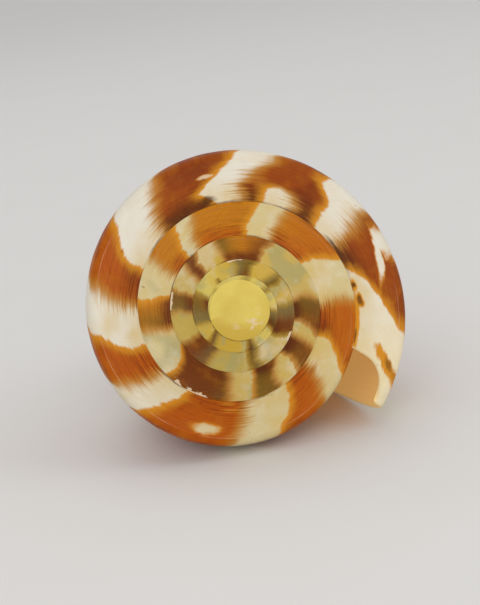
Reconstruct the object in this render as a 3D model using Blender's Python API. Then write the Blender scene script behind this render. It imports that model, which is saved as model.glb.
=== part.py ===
"""A cone shell lying on its side, grown as one piece.

The shell is worked out in its own frame first: the axis of coiling runs along +Y from the apex at
the origin to the front tip, +X is to the right and +Z is up as the spire is looked at. Growth is
counted in turns back from the lip, and angles run clockwise as the spire is seen.
"""
import math

import bmesh
import bpy
from mathutils import Matrix, Vector

MM = 0.001

# Driving sizes
LENGTH = 74.0 * MM           # apex to front tip, along the axis
SHOULDER_RADIUS = 25.95 * MM  # suture spiral carried on to the lip
SPIRE_HEIGHT = 7.4 * MM      # apex to the shoulder at the lip
DOME_RADIUS = 4.3 * MM       # worn smooth round of the first whorls
DOME_HEIGHT = 0.75 * MM

# Spiral of the shoulder
WHORL_GROWTH = 1.473         # radius of one turn over the last
LIP_ANGLE = 32.5             # degrees, where the shoulder meets the lip
SUTURE_LAG = 15.0            # degrees the lip trails at the suture
LAG_BEND = 3.2               # how late across the whorl top the lip comes forward
SPIRE_BEND = 0.92            # below 1 the spire is hollow in outline
LATE_SLOWING = 0.02          # the last stretch falls short of the spiral
SLOWING_ENDS = 0.15          # turns back from the lip
SLOWING_STARTS = 0.43

# Side of the whorl, against the shoulder radius
RIDGE = 0.965                # the edge where top turns into side
TIP = 0.165                  # radius at the front tip
SWELL = 0.53                 # how far the side bulges past a straight cone
SWELL_AT_LIP = 0.43
SWELL_RUN = 0.25             # turns
SUTURE_DEPTH = 0.0076        # where a whorl meets the one before, as a share of the side
PITCH_GAIN = 1.457           # how much tighter the coiling is at the tip
PITCH_BEND = 1.9
DIVE = 2.2                   # how late in its turn the front end curls in
DIVE_BEND = 1.5
COLUMELLA = 1.0 * MM
SIDE_LEAN = 2.5              # degrees the lip runs forward down the side
SIDE_LEAN_RUN = 0.25
NOTCH = 1.6 * MM             # the lip ends this short of the tip
NOTCH_RUN = 0.16             # turns

# Walls and the hollow behind the slit
LIP_WALL = 0.75 * MM
WALL = 1.5 * MM
WALL_RUN = 0.16              # turns from thin lip to full wall
END_WALL = 3.2 * MM          # the wall swells where the hollow ends
HOLLOW_TURNS = 0.7
OPEN_TURNS = 0.4             # how far round the hollow is open at the tip
FLOOR_RISE = 0.45            # how far up the side the hollow's floor climbs
ROOF_DEPTH = 0.028           # where the whorl top's underside meets the older whorl
LIP_ROUND = 0.3 * MM
TOP_HOLLOW = 0.22 * MM       # dip of the whorl top between suture and ridge
SHOULDER_IN = 0.25           # the inside of the shoulder turns between these rows
SHOULDER_DOWN = 0.1
TIP_THINNER = 0.25
FLOOR_SAG = 0.6 * MM
SAG_RUN = 0.12               # turns

# Steps round and across; rows run from -1 at the suture through 0 at the ridge to 1 at the tip
STEPS = 72                   # to a turn
LAG_STEPS = round(STEPS * SUTURE_LAG / 360)
LAG_TURNS = LAG_STEPS / STEPS
SPIRE_STEPS = round(STEPS * math.log(SHOULDER_RADIUS / DOME_RADIUS) / math.log(WHORL_GROWTH))
SPIRE_TURNS = SPIRE_STEPS / STEPS
TOP_ROWS = [-1, -0.88, -0.5, -0.16, 0, SUTURE_DEPTH]
SIDE_ROWS = [SUTURE_DEPTH, (SUTURE_DEPTH + ROOF_DEPTH) / 2, ROOF_DEPTH,
             0.06, 0.13, 0.24, 0.37, 0.51, 0.65, 0.79, 0.91, 1]
RIM_SHARES = [0, 0.5, 1]     # from the outside to the inside
FLOOR_STEPS = 3
DOME_SHARES = [0, 0.3, 0.65, 1]

# How it lies
LIE_ROLL = 9.9               # degrees
LIE_TILT = 15.0
WELD = 0.002 * MM


def ease(value):
    """0 to 1 with level ends."""
    value = min(1.0, max(0.0, value))
    return value * value * (3 - 2 * value)


def angle_at(turns):
    return LIP_ANGLE - 360 * turns


def suture_radius(turns):
    turns = min(turns, SPIRE_TURNS)
    slow = LATE_SLOWING * ease((SLOWING_STARTS - turns) / (SLOWING_STARTS - SLOWING_ENDS))
    return SHOULDER_RADIUS * WHORL_GROWTH ** -turns * (1 - slow)


def ridge_depth(turns):
    """Depth of the shoulder below the apex."""
    lip = suture_radius(0)
    run = (suture_radius(turns) - DOME_RADIUS) / (lip - DOME_RADIUS)
    return DOME_HEIGHT + (SPIRE_HEIGHT - DOME_HEIGHT) * max(0.0, run) ** SPIRE_BEND


def skin(turns, side):
    """Angle, radius and depth on the side: 0 is the ridge, 1 the front tip."""
    swell = SWELL + (SWELL_AT_LIP - SWELL) * ease(1 - turns / SWELL_RUN)
    profile = RIDGE - (RIDGE - TIP) * side + swell * side ** 0.5 * (1 - side) ** 1.8
    pitch = (1 - 1 / WHORL_GROWTH) * (1 + PITCH_GAIN * side ** PITCH_BEND)
    dive = side ** DIVE_BEND
    inner = 1 + DIVE * (turns - 1) if turns > 1 else turns ** DIVE
    back = (1 - dive) * turns + dive * inner
    log_growth = -math.log(1 - pitch) * back
    spiral = math.log(WHORL_GROWTH) * turns
    radius = suture_radius(turns) * profile * math.exp(spiral - log_growth)
    if turns > SPIRE_TURNS:
        radius = suture_radius(turns) * profile
    core = COLUMELLA * side
    radius = (radius ** 4 + core ** 4) ** 0.25
    size = suture_radius(turns) / suture_radius(0)
    run = LENGTH - ridge_depth(turns) - NOTCH * ease(1 - turns / NOTCH_RUN)
    depth = ridge_depth(turns) + run * side * (size + (1 - size) * min(1.0, side / 0.3))
    lean = SIDE_LEAN * (1 - math.exp(-side / SIDE_LEAN_RUN))
    return angle_at(turns) + lean, radius, depth


def suture(turns):
    """Where the whorl top starts on the whorl before, or on the worn dome."""
    older = turns + 1 + LAG_TURNS
    met = min(older, SPIRE_TURNS)
    angle, radius, depth = skin(met, SUTURE_DEPTH)
    if older <= SPIRE_TURNS:
        return angle + 360, radius, depth
    lean = angle - angle_at(met)
    return angle_at(turns) - SUTURE_LAG * first_whorl(turns) + lean, radius, depth


def first_whorl(turns):
    """Falls to 0 along the first turn, where the whorl top narrows to nothing."""
    return min(1.0, (SPIRE_TURNS - turns) / (1 + LAG_TURNS))


def top(turns, across):
    """The whorl top: 0 is the suture, 1 the ridge."""
    start, edge, ridge = suture(turns), skin(turns, SUTURE_DEPTH), skin(turns, 0)
    grown = ease(first_whorl(turns))
    ridge = [a + (b - a) * grown for a, b in zip(edge, ridge)]
    dip = 4 * TOP_HOLLOW * across * (1 - across) * ridge[1] / SHOULDER_RADIUS * grown
    return (start[0] + (ridge[0] - start[0]) * across ** LAG_BEND,
            start[1] + (ridge[1] - start[1]) * across,
            start[2] + (ridge[2] - start[2]) * across + dip)


def outer(turns, row):
    """Any row of the whorl: -1 to 0 on the top, above 0 on the side."""
    return top(turns, 1 + row) if row <= 0 else skin(turns, row)


def wall_at(turns):
    wall = LIP_WALL + (WALL - LIP_WALL) * ease(turns / WALL_RUN)
    return wall + (END_WALL - wall) * ease((turns - 0.5 * HOLLOW_TURNS) / (0.5 * HOLLOW_TURNS))


def floor_at(turns):
    """How far down the side the hollow reaches."""
    climb = (turns - OPEN_TURNS) / (HOLLOW_TURNS - OPEN_TURNS)
    return 1 - FLOOR_RISE * ease(climb)


def inner(turns, row):
    """The inside of the wall, behind the same row of the outside."""
    if row == -1:
        angle, radius, depth = skin(turns + 1 + LAG_TURNS, ROOF_DEPTH)
        return angle + 360, radius, depth
    angle, radius, depth = outer(turns, row)
    turned = math.pi / 2 * ease((row + SHOULDER_IN) / (SHOULDER_IN + SHOULDER_DOWN))
    wall = wall_at(turns) * (1 - TIP_THINNER * max(0, row))
    return angle, radius - wall * math.sin(turned), depth + wall * math.cos(turned)


def place(point):
    """Angle, radius and depth to the shell's own frame."""
    angle, radius, depth = point
    angle = math.radians(angle)
    return Vector((radius * math.cos(angle), depth, -radius * math.sin(angle)))


def sheet(mesh, columns, rows, where):
    """A grid with each corner put where its column and row say."""
    across, down = len(columns) - 1, len(rows) - 1
    grid = bmesh.ops.create_grid(mesh, x_segments=across, y_segments=down, size=0.5)
    for vert in grid["verts"]:
        column = columns[round((vert.co.x + 0.5) * across)]
        row = rows[round((vert.co.y + 0.5) * down)]
        vert.co = where(column, row)


def turns_list(first, last):
    return [step / STEPS for step in range(first, last + 1)]


def rim(row, share):
    """The rounded edge of the lip: 0 is outside, 1 inside."""
    if row == -1:
        return place(skin(1 + LAG_TURNS, SUTURE_DEPTH + (ROOF_DEPTH - SUTURE_DEPTH) * share))
    angle, radius, depth = outer(0, row)
    outside, inside = place((angle, radius, depth)), place(inner(0, row))
    ahead = (place((angle + 1, radius, depth)) - outside).normalized()
    bulge = 4 * share * (1 - share) * LIP_ROUND * ease((row + 1) / 0.3)
    return outside.lerp(inside, share) + ahead * bulge


def hollow(turns, stop):
    """One ring of the hollow: down the older whorl, over the floor and up the wall."""
    part, row = stop
    reach = floor_at(turns)
    if part == "older":
        share = (row - ROOF_DEPTH) / (1 - ROOF_DEPTH)
        return place(skin(turns + 1 + LAG_TURNS, ROOF_DEPTH + share * (reach - ROOF_DEPTH)))
    if part == "wall":
        return place(inner(turns, row if row < 0 else row * reach))
    sag = FLOOR_SAG * math.sin(math.pi * row) * ease((turns - OPEN_TURNS) / SAG_RUN)
    across = hollow(turns, ("older", 1)).lerp(hollow(turns, ("wall", 1)), row)
    return across + Vector((0, sag, 0))


def dome(turns, share):
    """The worn first whorls: 0 is their edge, 1 the apex."""
    angle, radius, depth = suture(turns)
    return place((angle, radius * (1 - share), depth * (1 - share) ** 2))


def shell_mesh():
    mesh = bmesh.new()
    body_end = STEPS + LAG_STEPS
    hollow_end = round(HOLLOW_TURNS * STEPS)
    open_end = round(OPEN_TURNS * STEPS)
    whorl_rows = TOP_ROWS[:-1] + SIDE_ROWS
    older = [("older", row) for row in SIDE_ROWS if row >= ROOF_DEPTH]
    floor = [("floor", step / FLOOR_STEPS) for step in range(1, FLOOR_STEPS)]
    wall = [("wall", row) for row in reversed(whorl_rows)]

    def outside(turns, row):
        return place(outer(turns, row))

    sheet(mesh, turns_list(0, SPIRE_STEPS), TOP_ROWS, outside)
    sheet(mesh, turns_list(0, body_end), SIDE_ROWS, outside)
    sheet(mesh, turns_list(0, open_end), older, hollow)
    sheet(mesh, turns_list(0, open_end), wall, hollow)
    sheet(mesh, turns_list(open_end, hollow_end), older + floor + wall, hollow)
    sheet(mesh, whorl_rows, RIM_SHARES, rim)
    sheet(mesh, turns_list(SPIRE_STEPS - body_end, SPIRE_STEPS), DOME_SHARES, dome)
    bmesh.ops.remove_doubles(mesh, verts=mesh.verts, dist=WELD)
    open_edges = [edge for edge in mesh.edges if edge.is_boundary]
    bmesh.ops.holes_fill(mesh, edges=open_edges, sides=0)
    bmesh.ops.triangulate(mesh, faces=mesh.faces, ngon_method="EAR_CLIP")
    bmesh.ops.recalc_face_normals(mesh, faces=mesh.faces)
    return mesh


def lay_down(mesh):
    """Turn the shell onto its lip and body whorl, with the origin under its middle."""
    turn = Matrix.Rotation(-math.radians(LIE_TILT), 4, "X")
    turn @= Matrix.Rotation(math.radians(LIE_ROLL), 4, "Y")
    bmesh.ops.transform(mesh, matrix=turn, verts=mesh.verts)
    lows = [min(vert.co[axis] for vert in mesh.verts) for axis in range(3)]
    highs = [max(vert.co[axis] for vert in mesh.verts) for axis in range(3)]
    middle = Vector(((lows[0] + highs[0]) / 2, (lows[1] + highs[1]) / 2, lows[2]))
    bmesh.ops.translate(mesh, vec=-middle, verts=mesh.verts)


def shell_material():
    material = bpy.data.materials.new("shell_glaze")
    material.use_nodes = True
    principled = material.node_tree.nodes["Principled BSDF"]
    principled.inputs["Base Color"].default_value = (0.62, 0.36, 0.16, 1)
    principled.inputs["Roughness"].default_value = 0.3
    principled.inputs["Metallic"].default_value = 0.0
    return material


def main():
    for old in list(bpy.data.objects):
        bpy.data.objects.remove(old)
    grown = shell_mesh()
    lay_down(grown)
    mesh = bpy.data.meshes.new("shell")
    grown.to_mesh(mesh)
    grown.free()
    mesh.shade_smooth()
    mesh.materials.append(shell_material())
    bpy.context.scene.collection.objects.link(bpy.data.objects.new("shell", mesh))


main()
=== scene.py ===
"""Looks of the cone shell: the grown surface in fine steps, its markings, the light and the camera.

The shell is worked out in its own frame first: the axis of coiling runs along +Y from the apex at
the origin, +X is to the right and +Z is up as the spire is looked at. Growth is counted in turns
back from the lip. Rows run from -2 at the apex through -1 at the suture and 0 at the shoulder's
ridge to 1 at the front tip. Angles run clockwise as the spire is seen, and go on past 360 from
whorl to whorl.
"""

import math
from collections import namedtuple

import bmesh
import bpy
from mathutils import Matrix, Vector, noise


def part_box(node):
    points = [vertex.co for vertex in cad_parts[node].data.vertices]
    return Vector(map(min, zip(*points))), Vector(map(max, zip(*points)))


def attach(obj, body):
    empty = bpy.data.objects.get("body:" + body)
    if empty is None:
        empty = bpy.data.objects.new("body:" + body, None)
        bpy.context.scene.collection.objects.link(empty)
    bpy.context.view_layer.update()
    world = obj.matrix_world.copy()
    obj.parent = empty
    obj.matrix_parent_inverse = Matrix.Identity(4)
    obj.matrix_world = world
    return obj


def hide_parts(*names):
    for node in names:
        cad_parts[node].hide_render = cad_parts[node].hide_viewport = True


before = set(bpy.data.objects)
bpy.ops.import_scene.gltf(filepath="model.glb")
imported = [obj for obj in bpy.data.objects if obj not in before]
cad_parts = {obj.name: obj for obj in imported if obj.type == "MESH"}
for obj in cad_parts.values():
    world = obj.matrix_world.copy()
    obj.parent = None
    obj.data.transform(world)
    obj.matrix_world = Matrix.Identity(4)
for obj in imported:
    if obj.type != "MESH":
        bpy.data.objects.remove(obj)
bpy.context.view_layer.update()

MM = 0.001

# Sizes and spiral, the same as the solid's. Runs, ends and starts are in turns.
LENGTH = 74.0 * MM
SHOULDER_RADIUS = 25.95 * MM
SPIRE_HEIGHT = 7.4 * MM
DOME_RADIUS = 4.3 * MM
DOME_HEIGHT = 0.75 * MM
WHORL_GROWTH = 1.473
LIP_ANGLE = 1112.5           # degrees since an angle of 0 in the third whorl
SUTURE_LAG = 15.0            # degrees
LAG_BEND = 3.2
SPIRE_BEND = 0.92
LATE_SLOWING = 0.02
SLOWING_ENDS = 0.15
SLOWING_STARTS = 0.43
RIDGE = 0.965
TIP = 0.165
SWELL = 0.53
SWELL_AT_LIP = 0.43
SWELL_RUN = 0.25
SWELL_RISES = 0.5            # powers of the row
SWELL_FALLS = 1.8
SUTURE_DEPTH = 0.0076        # rows
PITCH_GAIN = 1.457
PITCH_BEND = 1.9
DIVE = 2.2
DIVE_BEND = 1.5
DIVE_ENDS = 2
COLUMELLA = 1.0 * MM
COLUMELLA_BLEND = 4
FULL_DEPTH = 0.3             # row where the older whorls' sides are as deep as the last one's
SIDE_LEAN = 2.5              # degrees
SIDE_LEAN_RUN = 0.25         # rows
NOTCH = 1.6 * MM
NOTCH_RUN = 0.16
LIP_WALL = 0.75 * MM
WALL = 1.5 * MM
WALL_RUN = 0.16
END_WALL = 3.2 * MM
HOLLOW_TURNS = 0.7
OPEN_TURNS = 0.4
FLOOR_RISE = 0.45
ROOF_DEPTH = 0.028           # rows
LIP_ROUND = 0.3 * MM
LIP_ROUND_RUN = 0.3          # rows
TOP_HOLLOW = 0.22 * MM
SHOULDER_IN = 0.25           # rows
SHOULDER_DOWN = 0.1
TIP_THINNER = 0.25
FLOOR_SAG = 0.6 * MM
SAG_RUN = 0.12
GLAZE_RUN = 0.06
LIE_ROLL = 9.9               # degrees
LIE_TILT = 15.0

# Uneven growth: height, waves to a turn, waves to a row, and a place of its own in the noise
Waves = namedtuple("Waves", "height to_turn to_row place")
BROAD_SWELLS = Waves(0.10 * MM, 9, 3, 1.7)
GROWTH_RESTS = Waves(0.05 * MM, 46, 5, 8.1)
RAGGED_EDGE = Waves(0.07 * MM, 120, 40, 3.3)
RAGGED_ROWS = 0.03
RIDGE_ROWS = 0.02            # how far from the ridge the unevenness turns from depth to radius
RIDGE_CALM = 0.7
TIP_CALM = 0.6
TOP_SHIFT = 0.31             # turns and row of the noise that the whorl tops take
TOP_ROW = 0.4
DOME_UNEVEN = 0.10 * MM
DOME_WAVES = 2.2
DOME_UNEVEN_RUN = 1 / 3

# Fine steps of the surface
STEPS = 288
LAG_STEPS = round(STEPS * SUTURE_LAG / 360)
LAG_TURNS = LAG_STEPS / STEPS
SPIRE_STEPS = round(STEPS * math.log(SHOULDER_RADIUS / DOME_RADIUS) / math.log(WHORL_GROWTH))
SPIRE_TURNS = SPIRE_STEPS / STEPS
TOP_STEPS = 16
RIM_STEPS = 4
SIDE_STEPS = 44
SIDE_CLOSER = 1.3            # brings the rows closer together near the shoulder
FLOOR_STEPS = 6
DOME_STEPS = 10
WELD = 0.002 * MM

Spot = namedtuple("Spot", "angle radius depth turns row glaze")


def ease(value):
    """0 to 1 with level ends."""
    value = min(1.0, max(0.0, value))
    return value * value * (3 - 2 * value)


def angle_at(turns):
    return LIP_ANGLE - 360 * turns


def suture_radius(turns):
    turns = min(turns, SPIRE_TURNS)
    slow = LATE_SLOWING * ease((SLOWING_STARTS - turns) / (SLOWING_STARTS - SLOWING_ENDS))
    return SHOULDER_RADIUS * WHORL_GROWTH ** -turns * (1 - slow)


def ridge_depth(turns):
    run = (suture_radius(turns) - DOME_RADIUS) / (suture_radius(0) - DOME_RADIUS)
    return DOME_HEIGHT + (SPIRE_HEIGHT - DOME_HEIGHT) * max(0.0, run) ** SPIRE_BEND


def wave_height(waves, turns, side):
    place = Vector((turns * waves.to_turn, side * waves.to_row, waves.place))
    return waves.height * noise.noise(place)


def relief(turns, side):
    """Uneven growth: broad swells, growth rests, and a ragged edge where whorls meet."""
    size = suture_radius(turns) / SHOULDER_RADIUS
    ragged = wave_height(RAGGED_EDGE, turns, side) * (1 - ease(side / RAGGED_ROWS))
    return (wave_height(BROAD_SWELLS, turns, side) + wave_height(GROWTH_RESTS, turns, side) + ragged) * size


def skin(turns, side):
    """The side of the whorl: 0 is the ridge, 1 the front tip."""
    swell = SWELL + (SWELL_AT_LIP - SWELL) * ease(1 - turns / SWELL_RUN)
    profile = RIDGE - (RIDGE - TIP) * side + swell * side ** SWELL_RISES * (1 - side) ** SWELL_FALLS
    pitch = (1 - 1 / WHORL_GROWTH) * (1 + PITCH_GAIN * side ** PITCH_BEND)
    dive = side ** DIVE_BEND
    inner_turns = 1 + DIVE * (turns - 1) if turns > 1 else turns ** DIVE
    back = (1 - dive) * turns + dive * inner_turns
    tightening = -math.log(1 - pitch) * back - math.log(WHORL_GROWTH) * turns
    if turns > DIVE_ENDS:
        tightening = 0.0
    radius = suture_radius(turns) * profile * math.exp(-tightening)
    core = COLUMELLA * side
    radius = (radius ** COLUMELLA_BLEND + core ** COLUMELLA_BLEND) ** (1 / COLUMELLA_BLEND)
    size = suture_radius(turns) / suture_radius(0)
    run = LENGTH - ridge_depth(turns) - NOTCH * ease(1 - turns / NOTCH_RUN)
    depth = ridge_depth(turns) + run * side * (size + (1 - size) * min(1.0, side / FULL_DEPTH))
    lean = SIDE_LEAN * (1 - math.exp(-side / SIDE_LEAN_RUN))
    uneven = relief(turns, side)
    level = 1 - ease(side / RIDGE_ROWS)
    radius += uneven * (1 - RIDGE_CALM * level) * (1 - TIP_CALM * side)
    return Spot(angle_at(turns) + lean, radius, depth - uneven * level, turns, side, 0)


def suture(turns):
    """Where the whorl top starts on the whorl before, or on the worn dome."""
    older = turns + 1 + LAG_TURNS
    met = skin(min(older, SPIRE_TURNS), SUTURE_DEPTH)
    if older <= SPIRE_TURNS:
        return met._replace(angle=met.angle + 360, turns=turns, row=-1)
    lean = met.angle - angle_at(SPIRE_TURNS)
    angle = angle_at(turns) - SUTURE_LAG * first_whorl(turns) + lean
    return met._replace(angle=angle, turns=turns, row=-1)


def first_whorl(turns):
    """Falls to 0 along the first turn, where the whorl top narrows to nothing."""
    return min(1.0, (SPIRE_TURNS - turns) / (1 + LAG_TURNS))


def top(turns, across):
    """The whorl top: 0 is the suture, 1 the ridge."""
    start, edge, ridge = suture(turns), skin(turns, SUTURE_DEPTH), skin(turns, 0)
    grown = ease(first_whorl(turns))
    angle, radius, depth = [a + (b - a) * grown for a, b in zip(edge[:3], ridge[:3])]
    dip = 4 * TOP_HOLLOW * across * (1 - across) * radius / SHOULDER_RADIUS * grown
    dip -= math.sin(math.pi * across) * relief(turns + TOP_SHIFT, TOP_ROW) * grown
    return Spot(start.angle + (angle - start.angle) * across ** LAG_BEND,
                start.radius + (radius - start.radius) * across,
                start.depth + (depth - start.depth) * across + dip, turns, across - 1, 0)


def outer(turns, row):
    return top(turns, 1 + row) if row <= 0 else skin(turns, row)


def wall_at(turns):
    half = HOLLOW_TURNS / 2
    wall = LIP_WALL + (WALL - LIP_WALL) * ease(turns / WALL_RUN)
    return wall + (END_WALL - wall) * ease((turns - half) / half)


def floor_at(turns):
    climb = (turns - OPEN_TURNS) / (HOLLOW_TURNS - OPEN_TURNS)
    return 1 - FLOOR_RISE * ease(climb)


def inner(turns, row):
    """The inside of the wall, behind the same row of the outside."""
    if row == -1:
        met = skin(turns + 1 + LAG_TURNS, ROOF_DEPTH)
        return met._replace(angle=met.angle + 360, turns=turns, row=row, glaze=1)
    out = outer(turns, row)
    turned = math.pi / 2 * ease((row + SHOULDER_IN) / (SHOULDER_IN + SHOULDER_DOWN))
    wall = wall_at(turns) * (1 - TIP_THINNER * max(0, row))
    return out._replace(radius=out.radius - wall * math.sin(turned),
                        depth=out.depth + wall * math.cos(turned), glaze=1)


def between(first, second, share):
    return Spot(*[a + (b - a) * share for a, b in zip(first, second)])


def rim(row, share):
    """The rounded edge of the lip: 0 is outside, 1 inside."""
    if row == -1:
        met = skin(1 + LAG_TURNS, SUTURE_DEPTH + (ROOF_DEPTH - SUTURE_DEPTH) * share)
        return met._replace(angle=met.angle + 360, turns=0, row=-1, glaze=share)
    spot = between(outer(0, row), inner(0, row), share)
    bulge = 4 * share * (1 - share) * LIP_ROUND * ease((row + 1) / LIP_ROUND_RUN)
    return spot._replace(angle=spot.angle + math.degrees(bulge / spot.radius))


def hollow(turns, stop):
    """One place of the hollow's ring: down the older whorl, over the floor and up the wall."""
    part, row = stop
    reach = floor_at(turns)
    if part == "older":
        share = (row - ROOF_DEPTH) / (1 - ROOF_DEPTH)
        met = skin(turns + 1 + LAG_TURNS, ROOF_DEPTH + share * (reach - ROOF_DEPTH))
        return met._replace(glaze=ease(turns / GLAZE_RUN))
    if part == "wall":
        return inner(turns, row if row < 0 else row * reach)
    sag = FLOOR_SAG * math.sin(math.pi * row) * ease((turns - OPEN_TURNS) / SAG_RUN)
    low = hollow(turns, ("older", 1))
    low = low._replace(angle=low.angle + 360)
    across = between(low, hollow(turns, ("wall", 1)), row)
    return across._replace(depth=across.depth + sag, glaze=1)


def dome(turns, share):
    """The worn first whorls: 0 is their edge, 1 the apex."""
    edge = suture(turns)
    round_dome = Vector((math.cos(math.radians(edge.angle)), math.sin(math.radians(edge.angle)), 0))
    uneven = noise.noise(round_dome * (1 - share) * DOME_WAVES) * ease(share / DOME_UNEVEN_RUN)
    return edge._replace(radius=edge.radius * (1 - share), row=-1 - share,
                         depth=edge.depth * (1 - share) ** 2 + uneven * DOME_UNEVEN)


def sheet(mesh, columns, rows, where):
    """A grid with each corner put at its spot, and marked with its place on the shell. It is made
    from -0.5 to 0.5 both ways, which tells each corner's column and row."""
    across, down = len(columns) - 1, len(rows) - 1
    grid = bmesh.ops.create_grid(mesh, x_segments=across, y_segments=down, size=0.5)
    placing = mesh.loops.layers.uv["placing"]
    growth = mesh.loops.layers.uv["growth"]
    glaze = mesh.verts.layers.float["glaze"]
    for vert in grid["verts"]:
        column = columns[round((vert.co.x + 0.5) * across)]
        row = rows[round((vert.co.y + 0.5) * down)]
        spot = where(column, row)
        angle = math.radians(spot.angle)
        vert.co = (spot.radius * math.cos(angle), spot.depth, -spot.radius * math.sin(angle))
        vert[glaze] = spot.glaze
        for loop in vert.link_loops:
            loop[placing].uv = (spot.angle / 360, spot.row)
            loop[growth].uv = (spot.turns, spot.row)


def turns_list(first, last):
    return [step / STEPS for step in range(first, last + 1)]


def shares(steps):
    return [step / steps for step in range(steps + 1)]


def shell_mesh():
    mesh = bmesh.new()
    mesh.loops.layers.uv.new("placing")
    mesh.loops.layers.uv.new("growth")
    mesh.verts.layers.float.new("glaze")
    across_top = [-(1 + math.cos(math.pi * share)) / 2 for share in shares(TOP_STEPS)[1:-1]]
    top_rows = [-1] + across_top + [0]
    rim_rows = [SUTURE_DEPTH + (ROOF_DEPTH - SUTURE_DEPTH) * share for share in shares(RIM_STEPS)[:-1]]
    low_rows = [ROOF_DEPTH + (1 - ROOF_DEPTH) * share ** SIDE_CLOSER for share in shares(SIDE_STEPS)]
    side_rows = rim_rows + low_rows
    body_end = STEPS + LAG_STEPS
    hollow_end = round(HOLLOW_TURNS * STEPS)
    open_end = round(OPEN_TURNS * STEPS)
    older = [("older", row) for row in low_rows]
    floor = [("floor", share) for share in shares(FLOOR_STEPS)[1:-1]]
    wall = [("wall", row) for row in reversed(top_rows + side_rows)]
    sheet(mesh, turns_list(0, SPIRE_STEPS), top_rows + [SUTURE_DEPTH], outer)
    sheet(mesh, turns_list(0, body_end), side_rows, outer)
    sheet(mesh, turns_list(0, open_end), older, hollow)
    sheet(mesh, turns_list(0, open_end), wall, hollow)
    sheet(mesh, turns_list(open_end, hollow_end), older + floor + wall, hollow)
    sheet(mesh, top_rows + side_rows, shares(RIM_STEPS), rim)
    sheet(mesh, turns_list(SPIRE_STEPS - body_end, SPIRE_STEPS), shares(DOME_STEPS), dome)
    bmesh.ops.remove_doubles(mesh, verts=mesh.verts, dist=WELD)
    open_edges = [edge for edge in mesh.edges if edge.is_boundary]
    bmesh.ops.holes_fill(mesh, edges=open_edges, sides=0)
    ends = [face for face in mesh.faces if len(face.verts) > 4]
    bmesh.ops.triangulate(mesh, faces=ends, ngon_method="EAR_CLIP")
    bmesh.ops.recalc_face_normals(mesh, faces=mesh.faces)
    return mesh


def lie_turn():
    turn = Matrix.Rotation(-math.radians(LIE_TILT), 4, "X")
    return turn @ Matrix.Rotation(math.radians(LIE_ROLL), 4, "Y")


def lay_down(mesh):
    """Turn the shell as it lies, set it where the solid is, and give the whole move."""
    turn = lie_turn()
    bmesh.ops.transform(mesh, matrix=turn, verts=mesh.verts)
    lows = Vector([min(vert.co[axis] for vert in mesh.verts) for axis in range(3)])
    highs = Vector([max(vert.co[axis] for vert in mesh.verts) for axis in range(3)])
    solid_low, solid_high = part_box("shell")
    move = (solid_low + solid_high) / 2 - (lows + highs) / 2
    move.z = solid_low.z - lows.z
    bmesh.ops.translate(mesh, vec=move, verts=mesh.verts)
    return Matrix.Translation(move) @ turn


def srgb(red, green, blue):
    """A colour given in 8-bit sRGB, as the linear values that shaders take."""
    parts = [part / 255 for part in (red, green, blue)]
    linear = [part / 12.92 if part <= 0.04045 else ((part + 0.055) / 1.055) ** 2.4 for part in parts]
    return (*linear, 1)


class Value:
    """A shader socket: arithmetic on it adds Math nodes."""

    def __init__(self, graph, socket):
        self.graph, self.socket = graph, socket

    def math(self, operation, *others):
        inputs = dict(enumerate((self, *others)))
        return self.graph.node("ShaderNodeMath", {"operation": operation}, inputs)

    def __add__(self, other):
        return self.math("ADD", other)

    def __sub__(self, other):
        return self.math("SUBTRACT", other)

    def __mul__(self, other):
        return self.math("MULTIPLY", other)

    def __truediv__(self, other):
        return self.math("DIVIDE", other)

    def __rsub__(self, other):
        return (self * -1) + other

    __radd__, __rmul__ = __add__, __mul__

    def most(self, other):
        return self.math("MAXIMUM", other)

    def __abs__(self):
        return self.math("ABSOLUTE")

    def rise(self, low, high):
        """0 at low, 1 at high, with level ends."""
        settings = {"interpolation_type": "SMOOTHSTEP"}
        limits = {"From Min": low, "From Max": high}
        return self.graph.node("ShaderNodeMapRange", settings, {"Value": self, **limits})

    def fall(self, high, low):
        """0 at high, 1 at low, with level ends."""
        return 1 - self.rise(low, high)

    def share(self, low, high):
        """0 at low, 1 at high, straight in between and held outside."""
        limits = {"From Min": low, "From Max": high}
        return self.graph.node("ShaderNodeMapRange", {"clamp": True}, {"Value": self, **limits})


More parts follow.
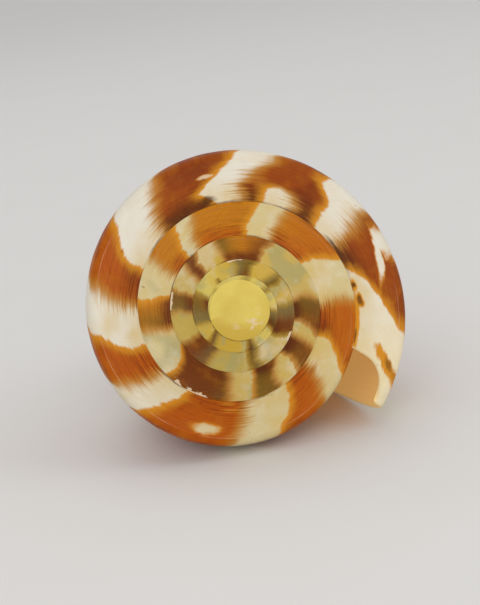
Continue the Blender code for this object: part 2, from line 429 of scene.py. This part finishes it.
class Graph:
    """One material's nodes."""

    def __init__(self, name):
        self.material = bpy.data.materials.new(name)
        self.material.use_nodes = True
        self.tree = self.material.node_tree
        self.tree.nodes.clear()

    def node(self, kind, settings=None, inputs=None, output=0):
        node = self.tree.nodes.new(kind)
        for name, setting in (settings or {}).items():
            if name == "stops":
                self.fill_ramp(node.color_ramp, setting)
            else:
                setattr(node, name, setting)
        for name, value in (inputs or {}).items():
            if isinstance(value, Value):
                self.tree.links.new(value.socket, node.inputs[name])
            else:
                node.inputs[name].default_value = value
        return Value(self, node.outputs[output])

    @staticmethod
    def fill_ramp(ramp, stops):
        ramp.interpolation = "LINEAR"
        while len(ramp.elements) < len(stops):
            ramp.elements.new(1)
        for element, (position, colour) in zip(ramp.elements, stops):
            element.position = position
            element.color = colour if isinstance(colour, tuple) else (colour, colour, colour, 1)

    def ramp(self, value, stops):
        """A colour or a level that follows a value from its first stop to its last."""
        first, last = stops[0][0], stops[-1][0]
        placed = [((at - first) / (last - first), colour) for at, colour in stops]
        return self.node("ShaderNodeValToRGB", {"stops": placed},
                         {"Fac": (value - first) / (last - first)})

    def mix(self, share, first, second):
        """Two colours mixed. A Mix node set to colours has them at its sockets 6, 7 and 2."""
        settings = {"data_type": "RGBA"}
        return self.node("ShaderNodeMix", settings, {"Factor": share, 6: first, 7: second}, 2)

    def layered(self, colour, *layers):
        """Colours laid on one after another: where each lies, how strongly, and its colour."""
        for where, strength, laid in layers:
            colour = self.mix(where * strength, colour, laid)
        return colour

    def uneven(self, vector, scale, detail=2.0, rough=0.5):
        """Noise, from about 0.2 to 0.8, over a vector."""
        settings = {"noise_dimensions": "3D"}
        inputs = {"Vector": vector, "Scale": scale, "Detail": detail, "Roughness": rough}
        return self.node("ShaderNodeTexNoise", settings, inputs)

    def drawn_out(self, around, to_around, row, to_row, place=0.0, detail=2.0, rough=0.5):
        """Noise drawn out along growth or across it: how often it changes, and a place of its own."""
        return self.uneven(self.join(around * to_around, row * to_row, place), 1.0, detail, rough)

    def vector(self, operation, first, second):
        return self.node("ShaderNodeVectorMath", {"operation": operation}, {0: first, 1: second})

    def join(self, x, y, z=0.0):
        return self.node("ShaderNodeCombineXYZ", None, {0: x, 1: y, 2: z})

    def parts(self, vector):
        return [self.node("ShaderNodeSeparateXYZ", None, {0: vector}, axis) for axis in range(3)]

    def object_place(self):
        return self.node("ShaderNodeTexCoord", None, None, "Object")

    def surface(self, shader):
        output = self.tree.nodes.new("ShaderNodeOutputMaterial")
        self.tree.links.new(shader.socket, output.inputs["Surface"])
        return self.material


# Flames: where each starts and ends, in degrees of its own whorl's angle, at the suture, a third and
# two thirds of the way out, and at the shoulder. NONE is where the flame doesn't reach.
NONE = (None, None)
FLAMES = [
    ((-560, -543), (-560, -543), (-559, -542), (-558, -541)),
    ((-512, -497), (-511, -497), (-510, -496), (-509, -495)),
    ((-449, -431), (-448, -430), (-447, -430), (-446, -429)),
    ((-405, -392), (-404, -391), (-404, -391), (-403, -390)),
    ((-362, -329), (-362, -329), (-362, -328), (-361, -326)),
    ((-294, -283), (-295, -282), (-296, -281), (-297, -279)),
    ((-230, -217), (-233, -220), (-235, -222), (-237, -223)),
    ((-203, -158), (-202, -157), (-202, -156), (-201, -156)),
    ((-130, -121), (-128, -123), NONE, NONE),
    ((-98, -72), (-96, -72), (-95, -73), (-98, -68)),
    ((-53, -36), (-50, -34), (-48, -32), (-46, -36)),
    ((-9, 38), (-9, 36), (-9, 32), (-12, 28)),
    ((62, 81), (66, 81), (68, 81), (64, 80)),
    ((116, 151), (118, 151), (119, 150), (118, 151)),
    ((175, 198), (176, 199), (178, 198), (176, 198)),
    ((215, 230), (216, 231), (216, 230), (218, 234)),
    ((252, 293), (252, 294), (251, 294), (249, 298)),
    ((348, 371), (346, 371), (346, 373), (349, 378)),
    ((382, 406), (383, 403), (383, 403), (384, 405)),
    ((410, 437), (417, 438), (420, 439), (419, 440)),
    ((456, 510), (455, 500), (455, 497), (453, 498)),
    ((524, 553), (524, 550), (526, 547), (526, 546)),
    ((568, 588), (568, 588), (569, 591), (570, 593)),
    ((597, 636), (597, 636), (600, 639), (603, 641)),
    ((654, 684), (653, 685), (654, 689), (655, 693)),
    ((716, 737), (713, 737), (712, 743), (713, 750)),
    ((756, 777), (757, 778), (760, 782), (763, 789)),
    ((804, 841), (805, 845), (806, 849), (809, 853)),
    ((860, 880), (861, 880), (863, 884), (866, 890)),
    ((902, 924), (902, 924), (905, 928), (908, 935)),
    ((945, 979), (947, 971), (951, 982), (955, 988)),
    ((992, 1003), (990, 1004), (995, 1031), (1003, 1024)),
    ((1018, 1033), (1016, 1032), NONE, NONE),
    ((1046, 1059), (1044, 1066), (1043, 1078), (1041, 1086)),
]
LEVELS = (-0.97, -0.67, -0.34, -0.02)    # rows of the four places
CHUNK = 7                                # flames to one ramp, which holds 32 stops at most
REACH = 20.0                             # degrees: how far from an edge the field counts
WANDER = 6.0                             # degrees that a flame's edge wanders
SIDE_WAVE = 40.0                         # degrees that the flames sway on the side
SIDE_LAG = 9.0                           # degrees that they fall back just past the shoulder

# A flame's older edge is brushed out along the spiral lines, and its newer edge has a golden rim.
# All in degrees.
OLDER_TEETH = 5.0
TEETH_NEAR_SUTURE = 9.0                  # more than elsewhere
NEWER_TEETH = 1.3
SIDE_TEETH = 2.5
FIRST_TEETH = 0.45                       # share of the teeth that the older whorls have
SOFTNESS = 1.1
OLDER_SOFTER = 3.4
SIDE_SHARPER = 2.2
EARLY_SOFTER = 1.6
LAST_EDGE_FIRM = 0.75                    # share of the brushing that the last flame's edge lacks
RIM_WIDTH = 1.3
RIM_UNEVEN = 4.0
GLOW_DEPTH = 7.0                         # how far in from its edges a flame is brighter

# On the side the flames widen, thin out to pale bands, and widen again: row, and 0.5 for no change
SIDE_BANDS = [(0.0, 0.5), (0.05, 0.48), (0.13, 0.64), (0.28, 0.78), (0.37, 0.42), (0.46, 0.28),
              (0.52, 0.40), (0.60, 0.74), (0.74, 0.80), (0.84, 0.62), (0.89, 0.36), (0.94, 0.5),
              (1.0, 0.85)]
BAND_SWING = 30.0                        # degrees
DOWN_SIDE = [(0.0, 0.0), (0.5, 0.1), (0.85, 0.35), (0.95, 0.9), (1.0, 1.0)]

# Pale and golden patches within the flames, and dark spots in them and beside them. The half width
# is in degrees, the half height in rows and the slant in degrees to a row.
Patch = namedtuple("Patch", "angle row half_width half_height slant strength")
PALE_PATCHES = [
    Patch(824, -0.24, 7.0, 0.17, 6, 0.9),
    Patch(977, -0.33, 3.8, 0.055, 4, 0.7),
    Patch(816, -0.93, 5.0, 0.05, 0, 0.35),
    Patch(813, -0.78, 6.0, 0.02, 0, 0.4),
    Patch(813, -0.72, 6.0, 0.02, 0, 0.3),
    Patch(1059, -0.15, 5.0, 0.21, -50, 1.0),
    Patch(1054, -0.01, 6.5, 0.09, 0, 1.0),
]
GOLD_PATCHES = [
    Patch(1098, -0.24, 2.6, 0.26, 16, 1.0),
    Patch(1075, -0.88, 3.4, 0.10, 6, 0.8),
    Patch(1068, -0.94, 3.4, 0.07, 0, 0.9),
    Patch(1086, -0.97, 16.0, 0.06, 0, 0.8),
    Patch(1106, -0.93, 4.0, 0.10, 0, 0.6),
]
DARK_SPOTS = [
    Patch(975, -0.86, 4.0, 0.09, -6, 0.9),
    Patch(1075, -0.88, 2.0, 0.06, 8, 0.8),
    Patch(1067.5, -0.94, 1.6, 0.05, 0, 0.9),
    Patch(1050, -0.96, 9.0, 0.05, 0, 0.9),
    Patch(1092, -0.98, 3.0, 0.02, 0, 0.8),
    Patch(1099, -0.13, 1.6, 0.11, 16, 0.6),
]
DOME_GOLD = [Patch(-262, -1.1, 70, 0.42, 0, 1.0)]
DOME_CHIPS = [Patch(-310, -1.5, 50, 0.34, 0, 1.0)]
PATCH_EDGE = (0.4, 1.5)                  # shares of the half width and half height
PATCH_RAGGED = 1.4

# Where the older whorls' edges are chipped: angle, half width in degrees
CHIPPED = [(480, 19), (26, 10), (188, 12), (-95, 14)]

# Rows at which something starts and is there in full, and how ragged or deep it is in rows
ON_SIDE = (-0.01, 0.02)
ON_DOME = (-0.995, -1.03)
NEAR_SUTURE = (-0.35, -0.9)
SWAY_STARTS = (0.02, 0.28)
LAG_STARTS = (0.0, 0.06)
SUTURE_LINE = (-0.945, -0.985)
SUTURE_RAGGED = 0.05
CHIP_EDGE = (0.0015, 0.0035)
CHIP_RAGGED = 0.035
CHIP_REACH = 0.03
CHIPS_PAST_RIDGE = (0.04, 0.02)
# Row and narrowness of the painted highlight line along the ridge
HIGHLIGHT_ROW = -0.004
HIGHLIGHT_NARROW = 190                      # to a row
GROOVE_ROWS = (0.55, 0.92)

# The same in turns back from the lip
OLDER_WHORLS = (0.98, 1.04)
# Turns over which the painted ridge highlight fades
HIGHLIGHT_FADES = (0.9, 1.1)
PEACH_DEEPENS = (0.0, 0.3)
# Turns over which the painted glow inside the hollow fades
PAINTED_GLOW_REACH = (0.5, 0.1)

# Blotches and grain: how finely each is broken up, to a metre
BLOTCHES = 160.0
PALE_CLOUDS = 210.0
SMALL_BLOTCHES = 480.0
CHIP_GRAIN = 820.0
SPECKS = 1250.0
FINE_GRAIN = 1500.0

# Where along the spiral the look changes, in degrees: from, to
WORN_ENDS = (-480, -330)
WORN_RAGGED = 160
EARLY_ENDS = (20, 260)
SOFT_EDGES_END = (0, 300)
CREAMY_FADES = (300, 620)
GOLD_RIMS_START = (360, 520)
GLOW_GROWS = (380, 560)
HONEY_STARTS = (420, 500)
TEETH_GROW = (440, 640)
SAGE_ENDS = (540, 800)
BLOTCHES_DARKEN = (880, 960)
HONEY_ENDS = (905, 930)
# Angles where the painted ridge highlight stops and starts again
HIGHLIGHT_ENDS = (925, 950)
HIGHLIGHT_AGAIN = (1045, 1060)
LAST_EDGE = (1082, 1090)
LIP_EDGE = (1.4, 0.2)                    # degrees back from the lip
LIP_EDGE_RAGGED = 2

# Colours, in sRGB
YELLOW = srgb(208, 186, 90)
DOME_YELLOW = srgb(222, 199, 98)
GOLDEN = srgb(194, 158, 54)
STRAW = srgb(182, 156, 74)
SAND = srgb(194, 166, 90)
CREAM = srgb(208, 191, 142)
WHITE = srgb(225, 218, 201)
SAGE = srgb(158, 152, 104)
OLIVE = srgb(118, 90, 22)
GREY_OLIVE = srgb(128, 114, 66)
MOSS = srgb(168, 136, 50)
UMBER = srgb(84, 42, 4)
BROWN = srgb(110, 54, 6)
AMBER = srgb(188, 116, 14)
ORANGE = srgb(182, 92, 4)
RUST = srgb(176, 82, 0)
CHESTNUT = srgb(148, 66, 4)
DARK_RUST = srgb(96, 32, 0)
GOLD = srgb(208, 138, 30)
TAN = srgb(186, 134, 62)
HONEY = srgb(206, 172, 88)
PEACH = srgb(224, 184, 108)
PALE_PEACH = srgb(230, 193, 126)
BONE = srgb(232, 216, 174)
CHALK = srgb(226, 200, 164)
DIRT = srgb(80, 34, 4)
PLUM = srgb(90, 44, 30)
DARK = (0, 0, 0, 1)

# Colours along the spiral: the pale ground, and the flames near the suture and away from it
GROUNDS = [(-600, YELLOW), (-290, YELLOW), (-270, GOLDEN), (-230, GOLDEN), (-150, YELLOW),
           (-100, GOLDEN), (-10, GOLDEN), (30, SAND), (56, SAND), (80, STRAW), (180, STRAW),
           (240, GOLDEN), (340, SAND), (450, SAND), (500, CREAM), (800, CREAM), (880, WHITE),
           (1060, WHITE), (1110, BONE), (1120, BONE)]
NEAR_TINTS = [(-600, OLIVE), (-240, UMBER), (-190, OLIVE), (-165, UMBER), (-95, UMBER), (-60, OLIVE),
              (-20, OLIVE), (10, BROWN), (36, UMBER), (64, OLIVE), (90, OLIVE), (118, UMBER),
              (200, BROWN), (256, BROWN), (290, BROWN), (350, UMBER), (400, UMBER), (440, UMBER),
              (480, BROWN), (545, BROWN), (580, ORANGE), (640, ORANGE), (690, RUST), (720, RUST),
              (737, DARK_RUST), (760, RUST), (900, RUST), (945, UMBER), (1120, UMBER)]
FAR_TINTS = [(-600, OLIVE), (-225, UMBER), (-190, OLIVE), (-90, OLIVE), (-30, OLIVE), (14, BROWN),
             (64, OLIVE), (90, OLIVE), (120, BROWN), (150, BROWN), (176, OLIVE), (225, BROWN),
             (254, OLIVE), (272, AMBER), (292, BROWN), (348, OLIVE), (374, BROWN),
             (440, OLIVE), (470, BROWN), (495, BROWN), (526, OLIVE), (545, AMBER), (610, AMBER),
             (640, AMBER), (700, ORANGE), (745, ORANGE), (800, RUST), (920, RUST),
             (960, CHESTNUT), (1080, CHESTNUT), (1092, AMBER), (1120, AMBER)]

# Gloss and fine relief of the glaze
ROUGHNESS = 0.36
WORN_ROUGHER = 0.12
CHIPS_ROUGHER = 0.3
INSIDE_SMOOTHER = 0.1
SPECULAR = 0.14
# Strength of the painted glow, an emission inside the hollow
PAINTED_GLOW_STRENGTH = 0.37
BUMP_STRENGTH = 0.35
BUMP_HEIGHT = 0.12 * MM
GROOVES = 330                # radians to a row, for the spiral grooves near the tip
GROOVE_BUMP = 0.6
LINE_BUMP = 0.5
FINE_BUMP = 0.2
CHIP_DENT = 0.8

Place = namedtuple("Place", "angle row turns glaze point on_side on_dome near_suture")
Grain = namedtuple("Grain", "growth fine_growth spiral blotches small_blotches fine")
Flames = namedtuple("Flames", "angle depth phase newer older edge core")


def chunks(flames):
    return [flames[start:start + CHUNK] for start in range(0, len(flames), CHUNK)]


def level_at(degrees):
    """The field's level at so many degrees inside a flame."""
    return 0.5 + degrees / (2 * REACH)


def flame_field(graph, angle, flames):
    """Red: how deep inside a flame, 0.5 at its edges. Green: 0 at its older edge, 1 at its newer."""
    field = None
    for number, group in enumerate(chunks(flames)):
        stops = [(group[0][0] - REACH, DARK), (group[0][0], (0.5, 0, 0, 1))]
        for (start, end), (following, _) in zip(group, group[1:]):
            deep = level_at(min(REACH, (end - start) / 2))
            shallow = level_at(-min(REACH, (following - end) / 2))
            stops += [((start + end) / 2, (deep, 0.5, 0, 1)), (end, (0.5, 1, 0, 1)),
                      ((end + following) / 2, (shallow, 0.5, 0, 1)), (following, (0.5, 0, 0, 1))]
        start, end = group[-1]
        deep = level_at(min(REACH, (end - start) / 2))
        stops += [((start + end) / 2, (deep, 0.5, 0, 1)), (end, (0.5, 1, 0, 1))]
        later = flames[(number + 1) * CHUNK:]
        gap = later[0][0] - end if later else 2 * REACH
        near, far = sorted((gap, REACH))
        stops += [(end + near, (level_at(-near), 1 - near / gap, 0, 1)), (end + far, DARK)]
        level = graph.ramp(angle, stops)
        field = level if field is None else graph.vector("MAXIMUM", field, level)
    return field


def patched(angle, row, patches, ragged):
    """Where the patches are, with ragged soft edges."""
    share = None
    for patch in patches:
        down = row - patch.row
        aside = (angle - patch.angle - down * patch.slant) / patch.half_width
        down = down / patch.half_height
        distance = (aside * aside + down * down).math("SQRT") + (ragged - 0.5) * PATCH_RAGGED
        here = (1 - distance.rise(*PATCH_EDGE)) * patch.strength
        share = here if share is None else share.most(here)
    return share


def read_place(graph):
    """Where a point is on the shell."""
    placing = graph.node("ShaderNodeUVMap", {"uv_map": "placing"})
    growing = graph.node("ShaderNodeUVMap", {"uv_map": "growth"})
    glaze = graph.node("ShaderNodeAttribute", {"attribute_name": "glaze"}, None, "Fac")
    whorl_angle, row, _ = graph.parts(placing)
    turns, _, _ = graph.parts(growing)
    return Place(angle=whorl_angle * 360, row=row, turns=turns, glaze=glaze, point=graph.object_place(),
                 on_side=row.rise(*ON_SIDE), on_dome=row.fall(*ON_DOME),
                 near_suture=row.fall(*NEAR_SUTURE))


def draw_grain(graph, place):
    """Lines along growth, lines along the spiral, and blotches."""
    turns, row, point = place.turns, place.row, place.point
    top_lines = graph.drawn_out(turns, 15, row, 28, detail=4.0, rough=0.7)
    side_lines = graph.drawn_out(turns, 22, row, 130, detail=3.0, rough=0.6)
    return Grain(growth=graph.drawn_out(turns, 260, row, 2.5, detail=3.0),
                 fine_growth=graph.drawn_out(turns, 900, row, 6),
                 spiral=top_lines + (side_lines - top_lines) * place.on_side,
                 blotches=graph.uneven(point, BLOTCHES, 3.0),
                 small_blotches=graph.uneven(point, SMALL_BLOTCHES, 3.0),
                 fine=graph.uneven(point, FINE_GRAIN))


def find_flames(graph, place, grain):
    """How deep a point is inside a flame, in degrees, how far from its older to its newer edge, and
    the shares of the flame's rim and core."""
    turns, row, on_side = place.turns, place.row, place.on_side
    wander = (graph.drawn_out(turns, 30, row, 6, detail=4.0, rough=0.6) - 0.5) * WANDER
    wave = (graph.drawn_out(turns, 5, row, 4.5, detail=3.0) - 0.5) * SIDE_WAVE * row.share(*SWAY_STARTS)
    moved = place.angle + wander + wave - row.share(*LAG_STARTS) * SIDE_LAG
    edges = [[flame[level] for flame in FLAMES if flame[level] != NONE] for level in range(len(LEVELS))]
    field = flame_field(graph, moved, edges[0])
    for level in range(1, len(LEVELS)):
        across = row.share(LEVELS[level - 1], LEVELS[level])
        field = graph.mix(across, field, flame_field(graph, moved, edges[level]))
    depth, phase, _ = graph.parts(field)
    newer = phase.rise(0.35, 0.8)
    older = (1 - newer) * (1 - place.angle.rise(*LAST_EDGE) * LAST_EDGE_FIRM)
    grown = FIRST_TEETH + place.angle.rise(*TEETH_GROW) * (1 - FIRST_TEETH)
    teeth = (older * (OLDER_TEETH + place.near_suture * TEETH_NEAR_SUTURE) + NEWER_TEETH) * grown
    teeth = teeth + (SIDE_TEETH - teeth) * on_side
    depth = (depth - 0.5) * (2 * REACH)
    depth = depth + (graph.ramp(row, SIDE_BANDS) - 0.5) * BAND_SWING * on_side
    depth = depth + (grain.spiral - 0.5) * teeth
    early = 1 - place.angle.rise(*SOFT_EDGES_END)
    softness = SOFTNESS + older * (OLDER_SOFTER - on_side * SIDE_SHARPER) + early * EARLY_SOFTER
    rim_width = newer * (RIM_WIDTH + grain.small_blotches * RIM_UNEVEN)
    return Flames(angle=moved, depth=depth, phase=phase, newer=newer, older=older,
                  edge=(depth / softness).rise(-1.0, 0.6),
                  core=(depth / (softness + rim_width)).rise(-0.3, 1.4))


def pale_ground(graph, place, grain):
    angle, row = place.angle, place.row
    recent = angle.rise(*CREAMY_FADES)
    creamy = grain.blotches.rise(0.4, 0.66) * (0.4 - recent * 0.15) + place.near_suture * 0.4 * recent
    sage = graph.drawn_out(angle, 0.045, row, 0.7, place=4.0, detail=1.0).rise(0.48, 0.64)
    pale = graph.uneven(place.point, PALE_CLOUDS, 4.0, 0.6).rise(0.48, 0.66)
    honeyed = graph.drawn_out(angle, 0.05, row, 1.3, place=9.0).rise(0.48, 0.8)
    return graph.layered(
        graph.ramp(angle, GROUNDS),
        (creamy, 1 - place.on_side * 0.6, HONEY),
        (sage * (1 - angle.rise(*SAGE_ENDS)), 0.6, SAGE),
        (pale, 0.32, WHITE),
        (honeyed * angle.rise(*HONEY_STARTS) * (1 - angle.rise(*HONEY_ENDS)), 0.55, HONEY),
        (grain.growth.rise(0.5, 0.8), 0.12, HONEY))


def flame_tint(graph, place, grain, flames, early):
    angle, row, on_side = place.angle, place.row, place.on_side
    toward_suture = (row * -1 + (grain.blotches - 0.5) * 0.5).rise(0.45, 0.92)
    glow = (1 - flames.depth.share(0.0, GLOW_DEPTH)) * (0.55 + flames.older * 0.2)
    axial = graph.drawn_out(place.turns, 60, row, 4, place=3.0, detail=3.0)
    dashes = graph.drawn_out(place.turns, 26, row, 64, place=9.0, detail=1.0)
    return graph.layered(
        graph.ramp(angle, FAR_TINTS),
        (toward_suture, 1.0, graph.ramp(angle, NEAR_TINTS)),
        (glow, angle.rise(*GLOW_GROWS) * 0.8 + 0.2, AMBER),
        (grain.small_blotches.rise(0.45, 0.75), 0.25, AMBER),
        (grain.blotches.rise(0.5, 0.68) * angle.rise(*BLOTCHES_DARKEN), 0.4, DARK_RUST),
        (grain.spiral.rise(0.47, 0.62), 0.22 + place.near_suture * 0.55, DARK_RUST),
        (grain.growth.rise(0.45, 0.75), 0.13, DARK_RUST),
        (axial.rise(0.42, 0.7) * on_side, 0.5, AMBER),
        (dashes.rise(0.56, 0.66) * on_side, 0.5, DARK_RUST),
        (graph.ramp(row, DOWN_SIDE) * on_side, 1.0, PLUM),
        ((1 - flames.phase.rise(0.2, 0.65)) * early, 0.6, GREY_OLIVE))


def marked_whorls(graph, place, grain):
    """The whorls' colour: the pale ground, the flames with their rims, the patches and the spots."""
    flames = find_flames(graph, place, grain)
    clean_ground = pale_ground(graph, place, grain)
    early = 1 - place.angle.rise(*EARLY_ENDS)
    rims = graph.layered(TAN, (flames.newer * place.angle.rise(*GOLD_RIMS_START), 1.0, GOLD),
                         (early, 1.0, MOSS))
    streaks = grain.spiral.rise(0.5, 0.62) * flames.depth.rise(-9, 1) * (1 - flames.newer)
    pale, golden, dark = [patched(flames.angle, place.row, patches, grain.small_blotches)
                          for patches in (PALE_PATCHES, GOLD_PATCHES, DARK_SPOTS)]
    return graph.layered(
        clean_ground,
        (streaks * (1 - place.on_side), 0.6, TAN),
        (flames.edge, 1.0, rims),
        (flames.core, 1.0, flame_tint(graph, place, grain, flames, early)),
        (pale.rise(0.0, 0.6), 0.7, GOLD),
        (pale.rise(0.3, 1.0), 1.0, clean_ground),
        (golden.rise(0.0, 0.7), 1.0, GOLD),
        (dark, 1.0, UMBER))


def dome_colour(graph, place, grain):
    chips = patched(place.angle, place.row, DOME_CHIPS, grain.blotches)
    return graph.layered(
        DOME_YELLOW,
        (grain.blotches.rise(0.35, 0.7), 0.5, GOLDEN),
        (patched(place.angle, place.row, DOME_GOLD, grain.blotches), 0.7, GOLDEN),
        (chips * grain.small_blotches.rise(0.5, 0.56), 0.75, CHALK))


def suture_dirt(graph, place, places):
    """A dark line along the suture, stronger in places."""
    ragged = graph.drawn_out(place.turns, 210, place.row, 20, detail=3.0, rough=0.7)
    line = (place.row + (ragged - 0.5) * SUTURE_RAGGED).fall(*SUTURE_LINE) * (1 - place.on_dome)
    return line * (0.1 + places.rise(0.45, 0.6) * 0.65)


def edge_chips(graph, place, places):
    """Chips along the edges of the older whorls, most of them in the places listed."""
    chipped = places.rise(0.62, 0.8) * 0.3
    for middle, half_width in CHIPPED:
        chipped = chipped.most(abs((place.angle - middle) / half_width).fall(1.0, 0.5))
    ragged = graph.uneven(place.point, CHIP_GRAIN, 3.0, 0.6)
    edge = place.row + (ragged - 0.5) * CHIP_RAGGED - (1 - chipped) * CHIP_REACH
    return edge.rise(*CHIP_EDGE) * place.row.fall(*CHIPS_PAST_RIDGE) * place.turns.rise(*OLDER_WHORLS)


def painted_ridge_highlight(place, places):
    """A painted highlight: a thin pale line painted along the ridge, fainter on the older whorls."""
    line = abs((place.row - HIGHLIGHT_ROW) * HIGHLIGHT_NARROW).fall(1.0, 0.4)
    stretches = 1 - place.angle.rise(*HIGHLIGHT_ENDS) + place.angle.rise(*HIGHLIGHT_AGAIN)
    return line * places.rise(0.42, 0.56) * stretches * (1 - place.turns.rise(*HIGHLIGHT_FADES) * 0.6)


def inside_colour(graph, place, grain):
    return graph.layered(PALE_PEACH, (place.turns.rise(*PEACH_DEEPENS), 1.0, PEACH),
                         (grain.growth.rise(0.4, 0.8), 0.12, TAN))


def shell_material():
    graph = Graph("shell_glaze")
    place = read_place(graph)
    grain = draw_grain(graph, place)
    worn = 1 - (place.angle + (grain.blotches - 0.5) * WORN_RAGGED).rise(*WORN_ENDS)
    places = graph.drawn_out(place.turns, 11, place.row, 0.1, place=7.0)
    chips = edge_chips(graph, place, places)
    specks = graph.uneven(place.point, SPECKS, 1.0).rise(0.77, 0.80)
    lip_edge = (place.turns * 360 + (grain.small_blotches - 0.5) * LIP_EDGE_RAGGED).fall(*LIP_EDGE)
    colour = graph.layered(
        marked_whorls(graph, place, grain),
        (place.on_dome, 1.0, dome_colour(graph, place, grain)),
        (worn * (1 - place.on_dome), 0.6, YELLOW),
        (suture_dirt(graph, place, places), 1.0, DIRT),
        (chips, 0.85, CHALK),
        # A painted highlight along the ridge, in chalk
        (painted_ridge_highlight(place, places), 0.5, CHALK),
        (specks, 0.4, DIRT),
        (lip_edge, 0.4, BONE),
        (place.glaze, 1.0, inside_colour(graph, place, grain)))

    # Painted light: the inside of the hollow glows peach by emission, standing in for the light that comes
    # through the thin wall
    painted_glow = graph.mix(place.glaze * place.turns.fall(*PAINTED_GLOW_REACH), DARK, PEACH)

    grooves = (place.row * GROOVES).math("SINE") * place.row.rise(*GROOVE_ROWS)
    height = (grooves * GROOVE_BUMP + (grain.growth + grain.spiral) * LINE_BUMP
              + (grain.fine_growth + grain.fine) * FINE_BUMP - chips * CHIP_DENT)
    bump = graph.node("ShaderNodeBump", None, {
        "Strength": BUMP_STRENGTH, "Distance": BUMP_HEIGHT, "Height": height})
    roughness = (ROUGHNESS + (grain.blotches + worn) * WORN_ROUGHER + chips * CHIPS_ROUGHER
                 - place.glaze * INSIDE_SMOOTHER)
    return graph.surface(graph.node("ShaderNodeBsdfPrincipled", None, {
        "Base Color": colour, "Roughness": roughness, "Normal": bump,
        "Emission Color": painted_glow, "Emission Strength": PAINTED_GLOW_STRENGTH,
        "Specular IOR Level": SPECULAR, "IOR": 1.5}))


def make_shell():
    grown = shell_mesh()
    whole_move = lay_down(grown)
    mesh = bpy.data.meshes.new("grown_shell")
    grown.to_mesh(mesh)
    grown.free()
    mesh.shade_smooth()
    mesh.materials.append(shell_material())
    shell = bpy.data.objects.new("grown_shell", mesh)
    bpy.context.scene.collection.objects.link(shell)
    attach(shell, "root")
    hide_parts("shell")
    return whole_move


# The picture: 480 by 605 pixels, the spire's middle and the scale at the lip's depth
PICTURE_WIDE = 480
PICTURE_HIGH = 605
APEX_ACROSS = 240.2
APEX_DOWN = 310.0
PIXEL = 0.1433 * MM
LENS = 100.0                 # mm
SENSOR = 36.0                # mm
NEAREST = 10 * MM
VIEW_LEFT = 5.5              # degrees the axis runs to the left as it goes away
VIEW_DOWN = 1.5


def make_camera(whole_move):
    """A camera that looks down the axis of coiling, in the shell's frame, moved with the shell."""
    focal = LENS / SENSOR * PICTURE_HIGH
    left, down = math.radians(VIEW_LEFT), math.radians(VIEW_DOWN)
    ahead = Vector((math.sin(left), math.cos(left) * math.cos(down), math.sin(down) * math.cos(left)))
    ahead.normalize()
    right = ahead.cross(Vector((0, 0, 1))).normalized()
    up = right.cross(ahead)
    away = focal * PIXEL - SPIRE_HEIGHT
    aside = (APEX_ACROSS - PICTURE_WIDE / 2) / focal * away
    above = -(APEX_DOWN - PICTURE_HIGH / 2) / focal * away
    place = -(right * aside + up * above + ahead * away)
    turn = Matrix((right, up, -ahead)).transposed().to_4x4()
    camera = bpy.data.cameras.new("camera")
    camera.lens = LENS
    camera.sensor_width = SENSOR
    camera.clip_start = NEAREST
    holder = bpy.data.objects.new("camera", camera)
    holder.matrix_world = whole_move @ Matrix.Translation(place) @ turn
    bpy.context.scene.collection.objects.link(holder)
    bpy.context.scene.camera = holder


# The floor, the lights and the room. Sizes and places are in metres.
FLOOR_HALF = 2.0
FLOOR_GRAIN = 40.0
FLOOR_WHITE = srgb(226, 224, 220)
FLOOR_GREY = srgb(218, 215, 210)
FLOOR_ROUGHNESS = 0.85
Light = namedtuple("Light", "name power size place")
LIGHTS = [
    Light("front_light", 1.0, 0.35, (-0.18, -0.62, 0.34)),
    Light("fill_light", 0.7, 0.3, (0.12, -0.72, 0.12)),
    Light("side_light", 0.5, 0.4, (0.5, -0.25, 0.35)),
    Light("top_light", 0.6, 0.5, (-0.1, 0.3, 0.6)),
]
LIGHT_AIM = Vector((0, -0.03, 0.02))
ROOM_COLOUR = (0.98, 0.98, 1.0, 1)
ROOM_STRENGTH = 0.66


def make_floor():
    mesh = bmesh.new()
    bmesh.ops.create_grid(mesh, x_segments=1, y_segments=1, size=FLOOR_HALF)
    flat = bpy.data.meshes.new("floor")
    mesh.to_mesh(flat)
    mesh.free()
    graph = Graph("pale_floor")
    colour = graph.mix(graph.uneven(graph.object_place(), FLOOR_GRAIN) * 0.3, FLOOR_WHITE, FLOOR_GREY)
    flat.materials.append(graph.surface(graph.node("ShaderNodeBsdfPrincipled", None, {
        "Base Color": colour, "Roughness": FLOOR_ROUGHNESS})))
    floor = bpy.data.objects.new("floor", flat)
    bpy.context.scene.collection.objects.link(floor)


def make_lights():
    for name, power, size, place in LIGHTS:
        light = bpy.data.lights.new(name, "AREA")
        light.energy = power
        light.size = size
        holder = bpy.data.objects.new(name, light)
        holder.location = place
        holder.rotation_euler = (LIGHT_AIM - Vector(place)).to_track_quat("-Z", "Y").to_euler()
        bpy.context.scene.collection.objects.link(holder)


def make_room():
    world = bpy.data.worlds.new("soft_room")
    world.use_nodes = True
    background = world.node_tree.nodes["Background"]
    background.inputs["Color"].default_value = ROOM_COLOUR
    background.inputs["Strength"].default_value = ROOM_STRENGTH
    bpy.context.scene.world = world
    bpy.context.scene.view_settings.view_transform = "Standard"


make_camera(make_shell())
make_floor()
make_lights()
make_room()
